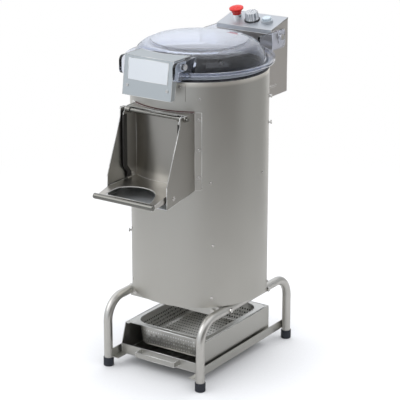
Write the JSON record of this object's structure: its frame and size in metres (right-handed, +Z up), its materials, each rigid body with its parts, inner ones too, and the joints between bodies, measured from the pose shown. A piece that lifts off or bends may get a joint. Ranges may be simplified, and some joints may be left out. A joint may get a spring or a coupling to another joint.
{
  "type": "potato peeler machine",
  "caption": "Floor-standing potato peeler with a steel drum, spinning abrasive disc, clear hinged lid, flap door in a chute, control box and filter drawer on a tube stand.",
  "frame": {"origin": "on the floor under the middle of the whole machine's box", "axes": "-Y is the front with the door, +X is the right side seen from the front, +Z is up"},
  "size_m": [0.4156, 0.681, 0.9656],
  "materials": {
    "stainless_steel": "satin",
    "polished_steel": "bright",
    "bright_metal": "polished",
    "cast_metal": "cast",
    "clear_plastic": "clear polycarbonate",
    "abrasive": "coarse silicon carbide grit",
    "black_rubber": "matt",
    "black_plastic": "satin",
    "red_plastic": "gloss",
    "white_plastic": "gloss",
    "grey_plastic": "satin"
  },
  "bodies": {
    "frame": {"leg_tube_left": "polished_steel", "leg_tube_right": "polished_steel", "rubber_feet": "black_rubber", "cross_member_front": "stainless_steel", "cross_member_rear": "stainless_steel", "drawer_rail_left": "stainless_steel", "drawer_rail_right": "stainless_steel", "frame_bolts": "polished_steel", "drum_shell": "stainless_steel", "drum_base": "stainless_steel", "chamber_floor": "stainless_steel", "abrasive_liner": "abrasive", "drain_pipe": "stainless_steel", "drum_screws": "polished_steel", "bearing_housing": "cast_metal", "drive_belt": "black_rubber", "motor_plate": "stainless_steel", "motor_body": "cast_metal", "chute_side_right": "stainless_steel", "chute_side_left": "stainless_steel", "chute_roof": "stainless_steel", "chute_floor": "stainless_steel", "door_rod": "polished_steel", "catch_bracket": "stainless_steel", "lid_sensor": "black_plastic", "control_box": "stainless_steel", "control_panel": "stainless_steel", "box_cover": "stainless_steel", "lid_hinge_bolts": "polished_steel", "stop_collar": "bright_metal", "timer_ring": "black_plastic", "start_ring": "grey_plastic", "switch_bodies": "black_plastic", "water_valve": "black_plastic", "cable_gland": "black_plastic"},
    "disc": {"peeling_disc": "abrasive", "disc_shaft": "stainless_steel", "disc_cap": "polished_steel", "disc_pulley": "cast_metal"},
    "rotor": {"motor_rotor": "stainless_steel", "motor_pulley": "cast_metal"},
    "door": {"door_panel": "stainless_steel", "door_bar": "polished_steel", "door_gasket": "black_rubber", "door_trim": "black_rubber"},
    "lid": {"lid_dome": "clear_plastic", "lid_gasket": "black_rubber", "latch_bolts": "polished_steel"},
    "latch": {"latch_plate": "stainless_steel", "nameplate_blank": "stainless_steel", "latch_screws": "polished_steel", "latch_magnet": "stainless_steel"},
    "stop_stem_body": {"stop_stem": "black_plastic"},
    "stop_head": {"stop_cap": "red_plastic"},
    "timer": {"timer_knob": "clear_plastic"},
    "start": {"start_cap": "white_plastic"},
    "drawer": {"filter_drawer": "stainless_steel", "drawer_strap": "stainless_steel", "drawer_outlet": "stainless_steel"},
    "pan": {"filter_pan": "polished_steel"}
  },
  "joints": [
    {"name": "disc_spin", "type": "hinge", "parent": "frame", "child": "disc", "pos_m": [0, 0.0249, 0.5], "axis": [0, 0, 1], "continuous": true},
    {"name": "motor_spin", "type": "hinge", "parent": "frame", "child": "rotor", "pos_m": [0, 0.1499, 0.4], "axis": [0, 0, 1], "continuous": true},
    {"name": "door_swing", "type": "hinge", "parent": "frame", "child": "door", "pos_m": [0, -0.1914, 0.7613], "axis": [-1, 0, 0], "range_deg": [0, 80]},
    {"name": "lid_hinge", "type": "hinge", "parent": "frame", "child": "lid", "pos_m": [0, 0.2899, 0.893], "axis": [-1, 0, 0], "range_deg": [0, 75]},
    {"name": "latch_pivot", "type": "hinge", "parent": "lid", "child": "latch", "pos_m": [0, -0.1796, 0.899], "axis": [-1, 0, 0], "range_deg": [0, 18]},
    {"name": "stop_push", "type": "slide", "parent": "frame", "child": "stop_stem_body", "axis": [0, -0.2296, 0.9733], "range_m": [-0.004, 0], "stiffness_N_per_m": 400},
    {"name": "stop_twist", "type": "hinge", "parent": "stop_stem_body", "child": "stop_head", "pos_m": [-0.05, 0.28856, 0.94792], "axis": [0, -0.2296, 0.9733], "range_deg": [-30, 0], "stiffness_Nm_per_rad": 0.02},
    {"name": "timer_turn", "type": "hinge", "parent": "frame", "child": "timer", "pos_m": [0, 0.29085, 0.93818], "axis": [0, -0.2296, 0.9733], "range_deg": [-300, 0]},
    {"name": "start_press", "type": "slide", "parent": "frame", "child": "start", "axis": [0, -0.2296, 0.9733], "range_m": [-0.004, 0], "stiffness_N_per_m": 300},
    {"name": "drawer_slide", "type": "slide", "parent": "frame", "child": "drawer", "axis": [0, -1, 0], "range_m": [0, 0.3]},
    {"name": "pan_lift", "type": "slide", "parent": "drawer", "child": "pan", "axis": [0, 0, 1], "range_m": [0, 0.06]}
  ],
  "couplings": [
    {"joint": "motor_spin", "follows": "disc_spin", "ratio": 3}
  ]
}
